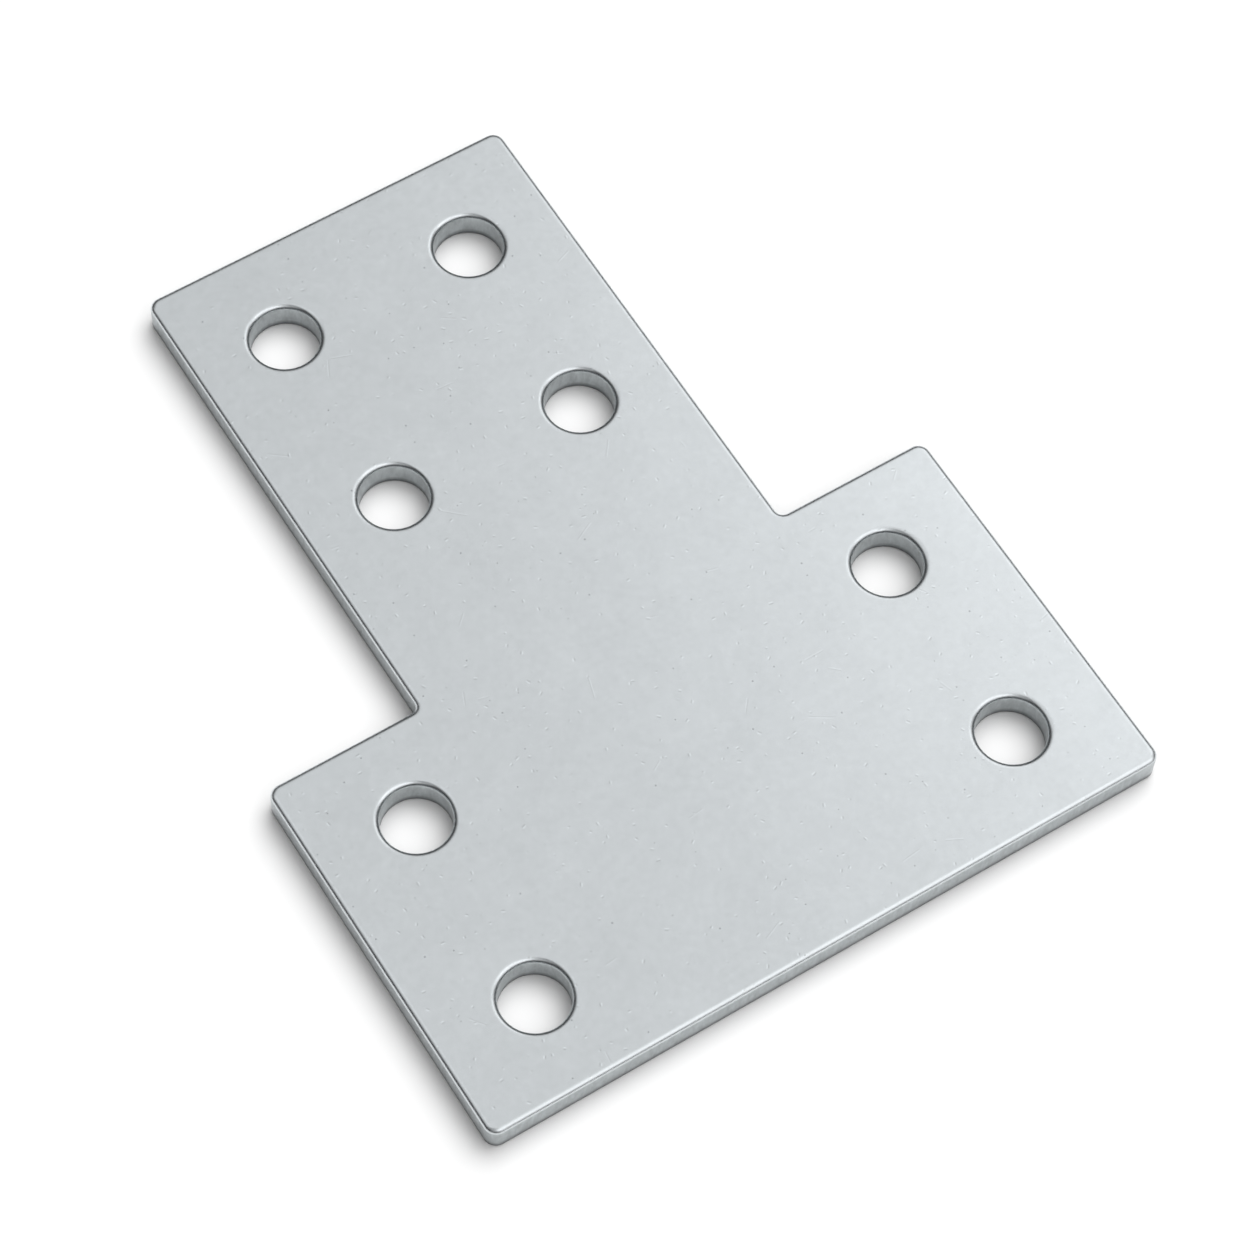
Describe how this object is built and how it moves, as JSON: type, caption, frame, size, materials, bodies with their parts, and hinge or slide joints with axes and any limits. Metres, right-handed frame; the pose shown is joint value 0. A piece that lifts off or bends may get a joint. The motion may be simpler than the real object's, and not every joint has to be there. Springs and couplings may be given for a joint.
{
  "type": "extrusion joining plate",
  "caption": "Flat T-shaped steel plate with round screw holes that ties the end of one slotted aluminium profile to the side of another.",
  "frame": {"origin": "on the contact face, where the centreline of the head crosses the centreline of the stem", "axes": "+X along the head, +Y up the stem, +Z from the contact face to the outer face"},
  "size_m": [0.07, 0.0885, 0.003],
  "materials": {
    "zinc_plated_steel": "bright zinc plate, satin, with tumbled edges"
  },
  "bodies": {
    "root": {"joining_plate": "zinc_plated_steel"}
  },
  "joints": []
}
